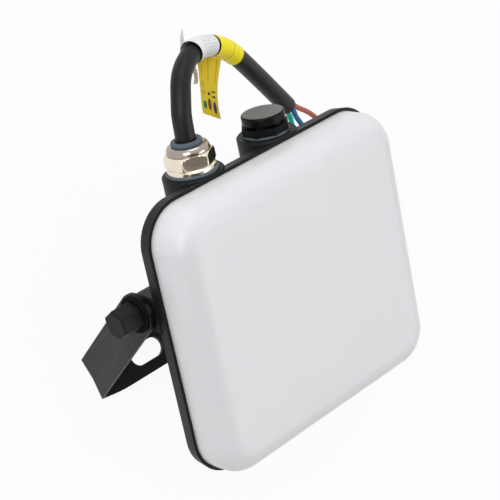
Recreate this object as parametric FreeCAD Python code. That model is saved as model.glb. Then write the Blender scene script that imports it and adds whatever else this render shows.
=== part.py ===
"""Small LED flood light: opal pillow front, die-cast body, folded steel bracket and a short cable.

The bracket stands in the row frame: origin in the middle of the base's underside, +X along the
tilt axis, +Z away from the mounting surface. The head is modelled upright in a frame of its own,
x across, y backwards from the front edge of its rim, z up, and is then set on the tilt axis.
"""
import FreeCAD, Part
import math
import os
from FreeCAD import Vector

os.makedirs("parts", exist_ok=True)

# Rim and recess of the body
rim_width = 150.0
rim_height = 138.3
rim_corner = 20.8
rim_depth = 7.1
rim_draft = 1.1
rim_edge_bevel = 0.6
rim_lip = 1.6
recess_depth = 4.2
floor_thickness = 4.0

# Raised pad, driver box and fins behind the rim
pad_inset = 8.0
pad_height = 2.4
box_side_margin = 18.1
box_height = 86.0
box_corner = 9.0
box_wall = 2.6
box_depth = 22.0
box_draft = 0.8
fin_count = 11
fin_pitch = 10.0
fin_thickness = 2.2
fin_depth = 8.0
fin_end_inset = 11.15

# Opal front
diffuser_clearance = 0.15
diffuser_height = 19.5
diffuser_round = 12.2
diffuser_wall = 2.0
diffuser_skirt = 3.1
gasket_width = 3.4

# Light board
board_gap_x = 5.85
board_gap_z = 6.0
board_corner = 10.0
board_thickness = 1.6
board_screw_inset_x = 7.0
board_screw_inset_z = 7.0
chip_columns = 6
chip_rows = 5
chip_pitch = 19.0
chip_width = 3.5
chip_height = 2.8
chip_thickness = 0.7
lead_hole_radius = 3.0
lead_radius = 0.8
lead_spacing = 2.4

# Driver and terminal block in the box
driver_width = 66.0
driver_height = 34.0
driver_depth = 16.0
driver_bevel = 1.2
driver_centre_z = -14.0
terminal_gap = 2.0
terminal_end_wall = 3.0
terminal_height = 16.0
terminal_depth = 13.0
terminal_bevel = 0.8
terminal_centre_z = 19.0
terminal_entry_radius = 2.0
tail_core_spacing = 3.0
terminal_entry_depth = 5.0

# Rear cover
cover_gasket_thickness = 1.0
cover_gasket_width = 2.4
cover_thickness = 3.2
cover_edge_bevel = 1.2
pillar_radius = 5.0
pillar_inset = 5.6

# Bosses of the cable gland and the vent
boss_axis_y = 13.2
boss_radius = 14.6
boss_front_y = 0.3
boss_foot_z = 41.0
boss_edge_bevel = 0.6
gland_x = -29.9
gland_boss_rise = 0.85
vent_x = 18.9
vent_boss_rise = 0.85

# Cable gland
gland_thread_radius = 8.0
gland_thread_length = 7.0
gland_washer_radius = 11.9
gland_washer_thickness = 1.4
gland_flange_radius = 11.6
gland_flange_height = 2.2
gland_flange_bevel = 0.7
gland_flats = 21.2
gland_hex_height = 6.4
gland_dome_height = 3.6
gland_dome_radius = 8.4
gland_seal_radius = 7.2
gland_seal_proud = 1.2
gland_seal_bevel = 0.5
gland_nut_wall = 1.6
cable_radius = 4.7
bush_clearance = 0.05
cable_recess = 3.0
passage_radius = 5.4

# Pressure vent
vent_thread_radius = 6.0
vent_thread_length = 6.5
vent_bore_radius = 2.5
vent_washer_radius = 11.4
vent_washer_thickness = 1.2
vent_flats = 22.0
vent_flange_height = 3.4
vent_flange_bevel = 0.4
vent_slit_height = 1.5
vent_post_count = 6
vent_post_width = 3.0
vent_post_length = 2.4
vent_post_inset = 1.0
vent_cap_recess = 1.2
vent_cap_radius = 10.5
vent_cap_height = 4.3
vent_cap_chamfer = 0.7
vent_seat_radius = 8.6
membrane_thickness = 0.4
membrane_radius = 6.5

# Tilt axis, seen in the head's frame
tilt_y = 15.8
tilt_z = 19.0
lug_inset = 0.4
lug_width = 17.6
lug_radius = 8.3
lug_foot_z = 9.0
lug_front_y = 5.0
lug_edge_bevel = 0.6
head_tilt = 65.0

# Bracket
strap_thickness = 2.0
strap_width = 20.0
arm_slant = 18.0
arm_setback = 1.0
tilt_height = 66.1
bend_radius = 3.5
bend_steps = 6
fade_steps = 4
fade_shift = 1.1
crease_depth = 0.6
crease_fade = 14.0
slot_width = 10.0
slot_length = 20.0
slot_centre_x = 41.5

# Pivot hardware
bolt_radius = 3.0
bolt_hole_clearance = 0.25
bolt_thread_depth = 13.0
bolt_head_flats = 10.0
bolt_head_height = 4.0
side_washer_radius = 9.0
side_washer_thickness = 1.5
side_washer_bevel = 0.4
side_clearance = 0.1
pivot_cap_flats = 12.8
pivot_cap_length = 11.3
pivot_cap_fit = 0.1
pivot_cap_bevel = 0.6
pivot_cap_phase = 23.0
friction_washer_radius = 8.0
friction_washer_thickness = 1.2

# Screws
screw_radius = 1.5
screw_head_radius = 2.8
screw_head_height = 1.8
screw_drive = 1.6
cover_screw_length = 14.0
board_screw_length = 4.6

# Free cable: its route to the jacket's end, measured from the gland's axis at the top of its boss
cable_first_rise = 25.1
cable_route = [
    (3.2, 1.2, 33.2),
    (7.3, 3.4, 41.4),
    (14.7, 6.9, 46.0),
    (25.2, 11.0, 48.3),
    (38.1, 15.7, 46.0),
    (50.0, 19.8, 40.5),
    (60.9, 23.7, 32.1),
    (71.9, 27.7, 20.8),
    (85.5, 32.3, 6.3),
]
cable_end = (99.8, 37.1, -9.4)
core_radius = 1.35
core_exit = 4.0
core_routes = {
    "core_brown": [(110.1, 39.9, -14.8), (120.5, 43.0, -21.7), (128.5, 45.4, -29.6), (131.7, 47.2, -37.4)],
    "core_blue": [(106.7, 39.6, -18.4), (112.8, 41.6, -26.3), (114.8, 43.6, -34.2), (112.5, 45.6, -41.0)],
    "core_green": [(102.5, 38.8, -19.4), (104.3, 40.8, -27.0), (103.5, 42.8, -34.4), (101.1, 44.8, -41.2)],
}
core_seats = {"core_brown": (2.3, -1.2), "core_blue": (-0.4, -2.5), "core_green": (-2.6, -0.5)}
bare_length = 7.0
bare_radius = 0.9

# Labels wrapped round the cable, as shares of its length, and their free ends
label_thickness = 0.2
label_clearance = 0.3
tag_thickness = 0.3
white_label_span = (0.332, 0.442)
yellow_label_span = (0.457, 0.603)
yellow_tag_rows = [
    ((28.6, 14.8, 42.6), (45.9, 17.5, 35.7)),
    ((26.7, 13.0, 35.0), (40.5, 16.9, 27.3)),
    ((24.5, 12.2, 26.0), (37.4, 16.2, 19.6)),
    ((23.3, 11.8, 18.0), (36.3, 15.7, 9.7)),
]
white_tag_rows = [
    ((24.7, 16.0, 57.9), (31.1, 22.8, 55.4)),
    ((21.9, 16.0, 51.3), (30.6, 22.8, 48.8)),
    ((24.3, 16.0, 43.1), (32.5, 22.8, 41.2)),
    ((25.8, 15.9, 37.5), (33.2, 21.8, 34.9)),
    ((24.6, 15.8, 31.4), (31.6, 21.3, 28.8)),
]

slope = math.radians(arm_slant)
fin_length = rim_height - 2 * fin_end_inset
box_width = 2 * (abs(gland_x) + box_side_margin)
terminal_width = 2 * (box_side_margin - box_wall - terminal_gap)
terminal_pitch = (terminal_width - terminal_end_wall) / 3
board_margin = rim_lip + diffuser_clearance + gasket_width
board_width = rim_width - 2 * (board_margin + board_gap_x)
board_height = rim_height - 2 * (board_margin + board_gap_z)
board_screw_x = board_width / 2 - board_screw_inset_x
board_screw_z = board_height / 2 - board_screw_inset_z
gland_boss_top = rim_height / 2 + gland_boss_rise
vent_boss_top = rim_height / 2 + vent_boss_rise
lug_outer = rim_width / 2 - lug_inset
lug_inner = lug_outer - lug_width
arm_inner = lug_outer + friction_washer_thickness + side_clearance
floor_y = recess_depth + floor_thickness
pad_back_y = rim_depth + pad_height
box_back_y = floor_y + box_depth
cover_front_y = box_back_y + cover_gasket_thickness
arm_outer = arm_inner + strap_thickness
tilt_row = Vector(0, arm_setback + tilt_height * math.tan(slope), tilt_height)
gland_axis = Vector(gland_x, boss_axis_y, 0)
gland_seat = Vector(gland_x, boss_axis_y, gland_boss_top)
vent_axis = Vector(vent_x, boss_axis_y, 0)


def export(name, shape):
    """Write one piece that already lies in the row frame."""
    shape.exportStep("parts/" + name + ".step")


def export_head(name, shape):
    """Set a piece of the head on the tilt axis, leaning back by head_tilt, and write it."""
    placed = shape.copy()
    placed.translate(Vector(0, -tilt_y, -tilt_z))
    placed.rotate(Vector(0, 0, 0), Vector(1, 0, 0), -head_tilt)
    placed.translate(tilt_row)
    export(name, placed)


def rounded_outline(half_x, half_z, radius, y):
    """Closed wire of a rounded rectangle in the plane at y."""
    x_in, z_in = half_x - radius, half_z - radius
    diagonal = radius * math.sqrt(0.5)
    edges = []
    corners = [(x_in, z_in, 1, 1), (-x_in, z_in, -1, 1), (-x_in, -z_in, -1, -1), (x_in, -z_in, 1, -1)]
    ends = []
    for cx, cz, sx, sz in corners:
        on_side = Vector(cx + sx * radius, y, cz)
        on_top = Vector(cx, y, cz + sz * radius)
        middle = Vector(cx + sx * diagonal, y, cz + sz * diagonal)
        start, stop = (on_side, on_top) if sx * sz > 0 else (on_top, on_side)
        ends.append((start, middle, stop))
    for index, (start, middle, stop) in enumerate(ends):
        edges.append(Part.Arc(start, middle, stop).toShape())
        edges.append(Part.LineSegment(stop, ends[(index + 1) % 4][0]).toShape())
    return Part.Wire(edges)


def slab(half_x, half_z, radius, y_front, y_back):
    """Rounded plate between two planes."""
    face = Part.Face(rounded_outline(half_x, half_z, radius, y_front))
    return face.extrude(Vector(0, y_back - y_front, 0))


def drafted(half_x, half_z, radius, y_front, y_back, draft):
    """Rounded block whose back outline is smaller by the draft all round."""
    front = rounded_outline(half_x, half_z, radius, y_front)
    back = rounded_outline(half_x - draft, half_z - draft, radius - draft, y_back)
    return Part.makeLoft([front, back], True, True)


def rod(x, y, z, radius, length, direction):
    """Cylinder from a point along a direction."""
    return Part.makeCylinder(radius, length, Vector(x, y, z), direction)


def tube_ring(centre, outer, inner, height, direction):
    """Flat ring that starts at centre and rises along the direction."""
    return Part.makeCylinder(outer, height, centre, direction).cut(
        Part.makeCylinder(inner, height, centre, direction))


def polygon_prism(centre, flats, sides, height, direction, phase):
    """Prism with the given width across flats; phase turns it about its axis, in degrees."""
    corner_radius = flats / 2 / math.cos(math.pi / sides)
    axis = Vector(direction)
    first = Vector(0, 1, 0) if abs(axis.x) > 0.5 else Vector(1, 0, 0)
    second = axis.cross(first) if abs(axis.x) < 0.5 else Vector(0, 0, 1)
    points = []
    for index in range(sides + 1):
        angle = math.radians(phase) + 2 * math.pi * index / sides
        points.append(centre + first * (corner_radius * math.cos(angle))
                      + second * (corner_radius * math.sin(angle)))
    return Part.Face(Part.makePolygon(points)).extrude(axis * height)


def rounded_corners(shape, edges, radius):
    """Fillet of the chosen edges."""
    return shape.makeFillet(radius, edges)


def edges_where(shape, test):
    """Edges whose centre of mass meets the test."""
    return [edge for edge in shape.Edges if test(edge)]


def in_plane_y(shape, y):
    """Edges that lie wholly in the plane at y."""
    return edges_where(shape, lambda edge: max(abs(v.Point.y - y) for v in edge.Vertexes) < 1e-4)


def in_plane_z(shape, z):
    """Edges that lie wholly in the plane at z."""
    return edges_where(shape, lambda edge: max(abs(v.Point.z - z) for v in edge.Vertexes) < 1e-4)


def in_plane_x(shape, x):
    """Edges that lie wholly in the plane at x."""
    return edges_where(shape, lambda edge: max(abs(v.Point.x - x) for v in edge.Vertexes) < 1e-4)


def route_path(points, report=None):
    """Runs joined by tangent arcs, each as large as its two shorter half-runs allow."""
    corners = [Vector(*p) for p in points]
    edges = []
    radii = []
    start = corners[0]
    for before, corner, after in zip(corners, corners[1:], corners[2:]):
        to_corner = (corner - before).normalize()
        from_corner = (after - corner).normalize()
        turn = to_corner.getAngle(from_corner)
        reach = 0.45 * min(corner.distanceToPoint(before), corner.distanceToPoint(after))
        radius = reach / math.tan(turn / 2)
        arc_start = corner - to_corner * reach
        arc_end = corner + from_corner * reach
        towards = (arc_start + arc_end) * 0.5 - corner
        depth = radius / math.cos(turn / 2) - radius
        arc_middle = corner + towards.normalize() * depth
        edges.append(Part.LineSegment(start, arc_start).toShape())
        edges.append(Part.Arc(arc_start, arc_middle, arc_end).toShape())
        radii.append(radius)
        start = arc_end
    edges.append(Part.LineSegment(start, corners[-1]).toShape())
    wire = Part.Wire(edges)
    if report:
        print(report, "length", round(wire.Length, 1), "arc radii", [round(r, 1) for r in radii])
    return wire


def round_tube(path, radius, bore=0):
    """Tube of one radius along a path: straight runs as cylinders, arcs as parts of a torus."""
    pieces = []
    for edge in path.Edges:
        start = edge.valueAt(edge.FirstParameter)
        tangent = edge.tangentAt(edge.FirstParameter)
        section = Part.Face(Part.Wire(Part.makeCircle(radius, start, tangent)))
        if bore:
            section = section.cut(Part.Face(Part.Wire(Part.makeCircle(bore, start, tangent)))).Faces[0]
        if hasattr(edge.Curve, "Radius"):
            sweep = math.degrees(edge.LastParameter - edge.FirstParameter)
            pieces.append(section.revolve(edge.Curve.Center, edge.Curve.Axis, sweep))
        else:
            pieces.append(section.extrude(edge.valueAt(edge.LastParameter) - start))
    return pieces[0].multiFuse(pieces[1:]) if len(pieces) > 1 else pieces[0]


def stretch(path, span):
    """The part of a path between two shares of its length."""
    low, high = span[0] * path.Length, span[1] * path.Length
    edges = []
    done = 0
    for edge in path.Edges:
        first = max(low - done, 0)
        last = min(high - done, edge.Length)
        if last - first > 1e-3:
            edges.append(edge.Curve.toShape(edge.getParameterByLength(first),
                                            edge.getParameterByLength(last)))
        done += edge.Length
    return Part.Wire(edges)


def plain_screw(head_seat, direction, length):
    """Flat-headed screw: its shank goes along direction from the seat, its head the other way."""
    shank = Part.makeCylinder(screw_radius, length, head_seat, direction)
    return shank.fuse(Part.makeCylinder(screw_head_radius, screw_head_height, head_seat, direction * -1))


def socket_screw(head_seat, direction, length):
    """Screw with a hexagonal socket in its head."""
    top = head_seat - direction * screw_head_height
    drive = polygon_prism(top, screw_drive, 6, screw_head_height * 0.6, direction, 0)
    return plain_screw(head_seat, direction, length).cut(drive)


def body_shell():
    """Rim, pad, driver box, fins, bosses and lugs as one casting."""
    half_x, half_z = rim_width / 2, rim_height / 2
    rim = drafted(half_x, half_z, rim_corner, 0, rim_depth, rim_draft)
    rim = rim.makeChamfer(rim_edge_bevel, in_plane_y(rim, rim_depth))
    pad = drafted(half_x - pad_inset, half_z - pad_inset, rim_corner - pad_inset / 2,
                  rim_depth, pad_back_y, rim_draft)
    box = drafted(box_width / 2, box_height / 2, box_corner, floor_y, box_back_y, box_draft)
    shape = rim.fuse(pad).fuse(box)
    for index in range(fin_count):
        x = (index - (fin_count - 1) / 2) * fin_pitch
        shape = shape.fuse(Part.makeBox(fin_thickness, fin_depth, fin_length,
                                        Vector(x - fin_thickness / 2, floor_y, -fin_length / 2)))
    for axis, top in ((gland_axis, gland_boss_top), (vent_axis, vent_boss_top)):
        shape = shape.fuse(boss(axis, top))
    for side in (-1, 1):
        shape = shape.fuse(lug(side))
    return shape.removeSplitter()


def boss(axis, top):
    """Upright boss with a round back and a flat front flush with the rim."""
    solid = Part.makeCylinder(boss_radius, top - boss_foot_z, axis + Vector(0, 0, boss_foot_z))
    front = Part.makeBox(4 * boss_radius, boss_radius, top, Vector(axis.x - 2 * boss_radius,
                                                                   boss_front_y - boss_radius, boss_foot_z))
    solid = solid.cut(front)
    return solid.makeChamfer(boss_edge_bevel, in_plane_z(solid, top))


def lug(side):
    """Ear beside the driver box: straight top, rounded round the tilt axis, slanted underside."""
    top = Vector(0, tilt_y, tilt_z + lug_radius)
    drop = tilt_z - lug_foot_z
    run = tilt_y - lug_front_y
    lean = math.atan2(drop, run)
    touch = lean + math.acos(lug_radius / math.hypot(run, drop))
    low = Vector(0, tilt_y - lug_radius * math.cos(touch), tilt_z - lug_radius * math.sin(touch))
    back = Vector(0, tilt_y + lug_radius, tilt_z)
    foot = Vector(0, lug_front_y, lug_foot_z)
    head = Vector(0, lug_front_y, tilt_z + lug_radius)
    outline = Part.Wire([
        Part.LineSegment(head, top).toShape(),
        Part.Arc(top, back, low).toShape(),
        Part.LineSegment(low, foot).toShape(),
        Part.LineSegment(foot, head).toShape(),
    ])
    solid = Part.Face(outline).extrude(Vector(lug_outer - lug_inner, 0, 0))
    solid.translate(Vector(lug_inner, 0, 0))
    solid = solid.makeChamfer(lug_edge_bevel, [e for e in in_plane_x(solid, lug_outer)
                                               if e.CenterOfMass.y > lug_front_y + 1])
    return solid if side > 0 else solid.mirror(Vector(0, 0, 0), Vector(1, 0, 0))


def pillar_places():
    """Centres of the four cover screws."""
    return [(sx * (box_width / 2 - pillar_inset), sz * (box_height / 2 - pillar_inset))
            for sx in (-1, 1) for sz in (-1, 1)]


def make_housing():
    """The casting with its recess, driver chamber, bores and tapped holes."""
    shape = body_shell()
    recess = slab(rim_width / 2 - rim_lip, rim_height / 2 - rim_lip, rim_corner - rim_lip,
                  -1, recess_depth)
    shape = shape.cut(recess)
    chamber = slab(box_width / 2 - box_wall, box_height / 2 - box_wall, box_corner - box_wall,
                   floor_y, box_back_y + 1)
    for x, z in pillar_places():
        chamber = chamber.cut(rod(x, floor_y, z, pillar_radius, box_depth + 1, Vector(0, 1, 0)))
    shape = shape.cut(chamber)
    backwards = Vector(0, 1, 0)
    for x, z in pillar_places():
        depth = cover_screw_length - cover_thickness
        shape = shape.cut(rod(x, box_back_y - depth, z, screw_radius, depth + 1, backwards))
    for x, z in board_screw_places():
        shape = shape.cut(rod(x, recess_depth, z, screw_radius, board_screw_length - board_thickness,
                              backwards))
    shape = shape.cut(rod(0, recess_depth, driver_centre_z, lead_hole_radius, floor_thickness, backwards))
    down = Vector(0, 0, -1)
    chamber_top = box_height / 2 - box_wall
    for axis, top, thread, length, passage in (
            (gland_axis, gland_boss_top, gland_thread_radius, gland_thread_length, passage_radius),
            (vent_axis, vent_boss_top, vent_thread_radius, vent_thread_length, vent_bore_radius)):
        shape = shape.cut(rod(axis.x, axis.y, top, thread, length, down))
        shape = shape.cut(rod(axis.x, axis.y, top, passage, top - chamber_top + 1, down))
    for side in (-1, 1):
        shape = shape.cut(rod(side * lug_outer, tilt_y, tilt_z, bolt_radius, bolt_thread_depth,
                              Vector(-side, 0, 0)))
    return shape


def board_screw_places():
    """Centres of the four screws of the light board."""
    return [(sx * board_screw_x, sz * board_screw_z) for sx in (-1, 1) for sz in (-1, 1)]


def make_diffuser():
    """Pillow shell with straight sides, a large round along its front edge and an open back."""
    half_x = rim_width / 2 - rim_lip - diffuser_clearance
    half_z = rim_height / 2 - rim_lip - diffuser_clearance
    radius = rim_corner - rim_lip - diffuser_clearance
    outer = slab(half_x, half_z, radius, -diffuser_height, diffuser_skirt)
    outer = rounded_corners(outer, in_plane_y(outer, -diffuser_height), diffuser_round)
    wall = diffuser_wall
    inner = slab(half_x - wall, half_z - wall, radius - wall, wall - diffuser_height, diffuser_skirt + 1)
    inner = rounded_corners(inner, in_plane_y(inner, wall - diffuser_height), diffuser_round - wall)
    return outer.cut(inner)


def make_diffuser_gasket():
    """Flat rubber frame between the pillow's skirt and the recess."""
    half_x = rim_width / 2 - rim_lip - diffuser_clearance
    half_z = rim_height / 2 - rim_lip - diffuser_clearance
    radius = rim_corner - rim_lip - diffuser_clearance
    outer = slab(half_x, half_z, radius, diffuser_skirt, recess_depth)
    inner = slab(half_x - gasket_width, half_z - gasket_width, radius - gasket_width,
                 diffuser_skirt, recess_depth)
    return outer.cut(inner)


def make_light_board():
    """Metal-cored board with its screw holes and lead hole."""
    front = recess_depth - board_thickness
    board = slab(board_width / 2, board_height / 2, board_corner, front, recess_depth)
    for x, z in board_screw_places():
        board = board.cut(rod(x, front, z, screw_radius, board_thickness, Vector(0, 1, 0)))
    return board


def make_chips():
    """Rows of chips soldered to the board's face."""
    front = recess_depth - board_thickness - chip_thickness
    chips = []
    for column in range(chip_columns):
        for row in range(chip_rows):
            x = (column - (chip_columns - 1) / 2) * chip_pitch
            z = (row - (chip_rows - 1) / 2) * chip_pitch
            chips.append(Part.makeBox(chip_width, chip_thickness, chip_height,
                                      Vector(x - chip_width / 2, front, z - chip_height / 2)))
    return Part.makeCompound(chips)


def make_driver():
    """Potted driver: bevelled block bonded to the floor."""
    case = Part.makeBox(driver_width, driver_depth, driver_height,
                        Vector(-driver_width / 2, floor_y, driver_centre_z - driver_height / 2))
    return case.makeChamfer(driver_bevel, in_plane_y(case, floor_y + driver_depth))


def make_leads():
    """Two leads from the driver's underside through the floor to the board."""
    leads = []
    for side in (-1, 1):
        leads.append(rod(side * lead_spacing / 2, recess_depth, driver_centre_z, lead_radius,
                         floor_thickness, Vector(0, 1, 0)))
    return Part.makeCompound(leads)


def make_terminal_block():
    """Three-way terminal block on the floor below the gland, wire entries facing it."""
    block = Part.makeBox(terminal_width, terminal_depth, terminal_height,
                         Vector(gland_x - terminal_width / 2, floor_y,
                                terminal_centre_z - terminal_height / 2))
    block = block.makeChamfer(terminal_bevel, in_plane_y(block, floor_y + terminal_depth))
    top = terminal_centre_z + terminal_height / 2
    for pole in (-1, 0, 1):
        x = gland_x + pole * terminal_pitch
        block = block.cut(rod(x, boss_axis_y, top, terminal_entry_radius, terminal_entry_depth,
                              Vector(0, 0, -1)))
        block = block.cut(rod(x, floor_y + terminal_depth, terminal_centre_z - 2, terminal_entry_radius,
                              3.0, Vector(0, -1, 0)))
    return block


def make_inner_cores():
    """Three cores that fan out from the cable's tail into the entries of the terminal block."""
    tail = box_height / 2 - box_wall
    block_top = terminal_centre_z + terminal_height / 2
    cores = []
    for pole in (-1, 0, 1):
        start = Vector(gland_x + pole * tail_core_spacing, boss_axis_y, tail)
        entry = Vector(gland_x + pole * terminal_pitch, boss_axis_y, block_top)
        section = Part.Face(Part.Wire(Part.makeCircle(core_radius, start)))
        inserted = Part.makeCylinder(core_radius, terminal_entry_depth, entry, Vector(0, 0, -1))
        cores.append(section.extrude(entry - start).fuse(inserted))
    return Part.makeCompound(cores)


def make_cover_gasket():
    """Rubber frame round the mouth of the driver chamber."""
    half_x = box_width / 2 - box_draft
    half_z = box_height / 2 - box_draft
    radius = box_corner - box_draft
    ring = slab(half_x, half_z, radius, box_back_y, cover_front_y).cut(
        slab(half_x - cover_gasket_width, half_z - cover_gasket_width, radius - cover_gasket_width,
             box_back_y, cover_front_y))
    for x, z in pillar_places():
        pad = rod(x, box_back_y, z, pillar_radius, cover_gasket_thickness, Vector(0, 1, 0))
        hole = rod(x, box_back_y, z, screw_radius, cover_gasket_thickness, Vector(0, 1, 0))
        ring = ring.fuse(pad).cut(hole)
    return ring.removeSplitter()


def make_rear_cover():
    """Flat cover with bevelled edges and four screw holes."""
    half_x = box_width / 2 - box_draft
    half_z = box_height / 2 - box_draft
    radius = box_corner - box_draft
    plate = slab(half_x, half_z, radius, cover_front_y, cover_front_y + cover_thickness)
    plate = plate.makeChamfer(cover_edge_bevel, in_plane_y(plate, cover_front_y + cover_thickness))
    for x, z in pillar_places():
        plate = plate.cut(rod(x, cover_front_y, z, screw_radius, cover_thickness, Vector(0, 1, 0)))
    return plate


def make_gland_body():
    """Threaded stem, round flange and the cup that holds the sealing bush."""
    base = gland_boss_top + gland_washer_thickness
    axis = Vector(0, 0, 1)
    stem = rod(gland_axis.x, gland_axis.y, gland_boss_top - gland_thread_length, gland_thread_radius,
               gland_thread_length + gland_washer_thickness, axis)
    flange = rod(gland_axis.x, gland_axis.y, base, gland_flange_radius, gland_flange_height, axis)
    flange = flange.makeChamfer(gland_flange_bevel, in_plane_z(flange, base + gland_flange_height))
    cup = rod(gland_axis.x, gland_axis.y, base, gland_cup_radius(), gland_flange_height + gland_hex_height / 2,
              axis)
    bore = rod(gland_axis.x, gland_axis.y, gland_boss_top - gland_thread_length,
               cable_radius + bush_clearance, gland_top() - gland_boss_top + gland_thread_length, axis)
    socket = rod(gland_axis.x, gland_axis.y, base + gland_flange_height, gland_seal_radius,
                 gland_hex_height, axis)
    return stem.fuse(flange).fuse(cup).cut(bore).cut(socket)


def gland_cup_radius():
    """Radius of the threaded cup inside the cap nut."""
    return gland_flats / 2 - gland_nut_wall


def gland_top():
    """Height of the cap nut's mouth above the head's centre."""
    return (gland_boss_top + gland_washer_thickness + gland_flange_height + gland_hex_height
            + gland_dome_height)


def make_gland_nut():
    """Domed hexagon cap nut: chamfered hexagon, bulged shoulder, open mouth."""
    base = gland_boss_top + gland_washer_thickness + gland_flange_height
    axis = Vector(0, 0, 1)
    centre = gland_axis + Vector(0, 0, base)
    hexagon = polygon_prism(centre, gland_flats, 6, gland_hex_height, axis, 30)
    crown = gland_flats / 2 / math.cos(math.pi / 6)
    bevel = crown - gland_flats / 2
    trim = Part.makeCylinder(crown - 0.15, gland_hex_height, centre)
    trim = trim.makeChamfer(bevel * 0.55, trim.Edges[0:1] + trim.Edges[2:3])
    hexagon = hexagon.common(trim)
    shoulder = gland_flats / 2 - 0.5
    top = gland_hex_height + gland_dome_height
    bulge = ((shoulder + gland_dome_radius) / 2 + 1.1, gland_hex_height + gland_dome_height * 0.62)
    profile = Part.Wire([
        Part.LineSegment(Vector(0, 0, gland_hex_height), Vector(shoulder, 0, gland_hex_height)).toShape(),
        Part.Arc(Vector(shoulder, 0, gland_hex_height), Vector(bulge[0], 0, bulge[1]),
                 Vector(gland_dome_radius, 0, top)).toShape(),
        Part.LineSegment(Vector(gland_dome_radius, 0, top), Vector(0, 0, top)).toShape(),
        Part.LineSegment(Vector(0, 0, top), Vector(0, 0, gland_hex_height)).toShape(),
    ])
    dome = Part.Face(profile).revolve(Vector(0, 0, 0), Vector(0, 0, 1), 360)
    dome.translate(centre)
    shape = hexagon.fuse(dome)
    cup_height = gland_hex_height / 2
    shape = shape.cut(Part.makeCylinder(gland_cup_radius(), cup_height, centre))
    return shape.cut(Part.makeCylinder(gland_seal_radius, top, centre)).removeSplitter()


def make_gland_bush():
    """Rubber bush squeezed between cup and nut; its rounded lip shows above the nut."""
    low = gland_boss_top + gland_washer_thickness + gland_flange_height
    height = gland_top() + gland_seal_proud - low
    solid = rod(gland_axis.x, gland_axis.y, low, gland_seal_radius, height, Vector(0, 0, 1))
    solid = solid.makeChamfer(gland_seal_bevel, in_plane_z(solid, low + height))
    return solid.cut(rod(gland_axis.x, gland_axis.y, low, cable_radius + bush_clearance, height,
                         Vector(0, 0, 1)))


def make_vent_body():
    """Threaded stem under a hexagon flange, with short posts that carry the cap."""
    base = vent_boss_top + vent_washer_thickness
    axis = Vector(0, 0, 1)
    centre = vent_axis + Vector(0, 0, base)
    flange = polygon_prism(centre, vent_flats, 8, vent_flange_height, axis, 22.5)
    flange = flange.makeChamfer(vent_flange_bevel, in_plane_z(flange, base + vent_flange_height))
    stem = rod(vent_axis.x, vent_axis.y, vent_boss_top - vent_thread_length, vent_thread_radius,
               vent_thread_length + vent_washer_thickness, axis)
    shape = flange.fuse(stem)
    post_top = base + vent_flange_height
    for index in range(vent_post_count):
        post = Part.makeBox(vent_post_length, vent_post_width, vent_slit_height,
                            Vector(vent_cap_radius - vent_post_inset - vent_post_length,
                                   -vent_post_width / 2, 0))
        post.rotate(Vector(0, 0, 0), axis, 360 / vent_post_count * (index + 0.5))
        post.translate(vent_axis + Vector(0, 0, post_top))
        shape = shape.fuse(post)
    seat = rod(vent_axis.x, vent_axis.y, post_top - membrane_thickness, membrane_radius,
               membrane_thickness, axis)
    bore = rod(vent_axis.x, vent_axis.y, vent_boss_top - vent_thread_length, vent_bore_radius,
               post_top - vent_boss_top + vent_thread_length, axis)
    return shape.cut(seat).cut(bore).removeSplitter()


def make_vent_membrane():
    """Thin breathing disc in the flange's seat."""
    top = vent_boss_top + vent_washer_thickness + vent_flange_height
    return rod(vent_axis.x, vent_axis.y, top - membrane_thickness, membrane_radius, membrane_thickness,
               Vector(0, 0, 1))


def make_vent_cap():
    """Round chamfered cap on the posts, hollow over the membrane."""
    low = vent_boss_top + vent_washer_thickness + vent_flange_height + vent_slit_height
    cap = rod(vent_axis.x, vent_axis.y, low, vent_cap_radius, vent_cap_height, Vector(0, 0, 1))
    cap = cap.makeChamfer(vent_cap_chamfer, in_plane_z(cap, low + vent_cap_height))
    return cap.cut(rod(vent_axis.x, vent_axis.y, low, membrane_radius, vent_cap_recess, Vector(0, 0, 1)))


def strap_section(x_mid, z_mid, outward, depth):
    """Cross-section of the strap as a closed wire, creased inwards by depth at its middle.

    outward is the unit vector of the strap's outer face; x_mid, z_mid is the middle of the
    sheet's thickness at the strap's edges."""
    half_y = strap_width / 2 / math.cos(slope)
    half_t = strap_thickness / 2
    centre = Vector(x_mid, 0, z_mid)
    points = []
    for y, sink, side in ((-half_y, 0, 1), (0, depth, 1), (half_y, 0, 1),
                          (half_y, 0, -1), (0, depth, -1), (-half_y, 0, -1)):
        points.append(centre + Vector(0, y, 0) + outward * (side * half_t - sink))
    return Part.makePolygon(points + points[:1])


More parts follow.
